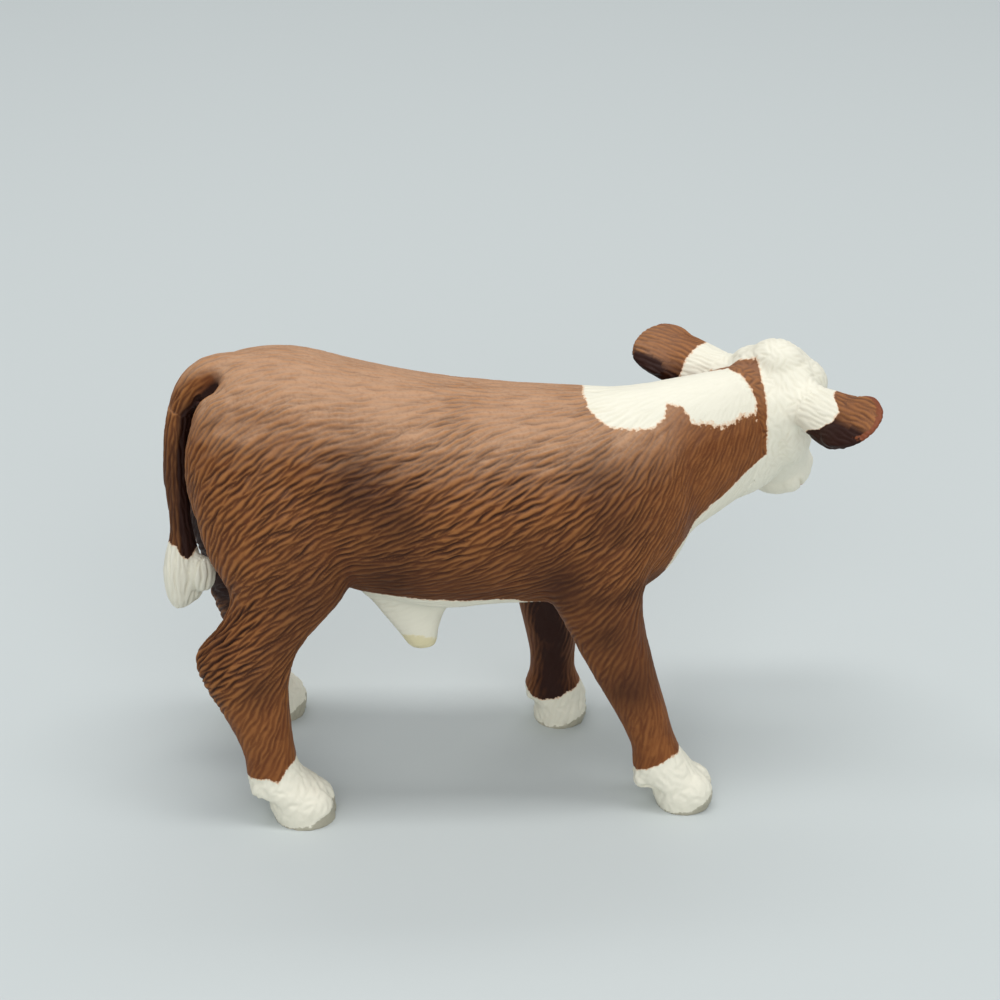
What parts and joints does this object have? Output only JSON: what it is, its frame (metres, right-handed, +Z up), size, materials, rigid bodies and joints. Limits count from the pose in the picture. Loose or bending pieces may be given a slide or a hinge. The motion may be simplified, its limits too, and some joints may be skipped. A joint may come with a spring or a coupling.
{
  "type": "toy farm animal figure",
  "caption": "Standing bull calf toy figure with its head turned to its left, brown coat, white face, belly and socks, standing on its four flat-soled hooves.",
  "frame": {"origin": "on the ground, under the middle of the whole figure's box", "axes": "+X the way the calf's body faces, +Y the calf's left, +Z up from the soles"},
  "size_m": [0.075, 0.0314, 0.0505],
  "materials": {
    "coat": "matte hand-painted brown over moulded hair grooves, dark wash in the grooves",
    "face": "matte hand-painted cream white over moulded hair grooves",
    "legs": "matte brown paint above cream socks and grey-beige hooves",
    "tail": "matte brown paint above a cream tuft"
  },
  "bodies": {
    "root": {"body": "coat", "head": "face", "ear_left": "coat", "ear_right": "coat", "tail": "tail", "leg_fore_left": "legs", "leg_fore_right": "legs", "leg_hind_left": "legs", "leg_hind_right": "legs"}
  },
  "joints": []
}
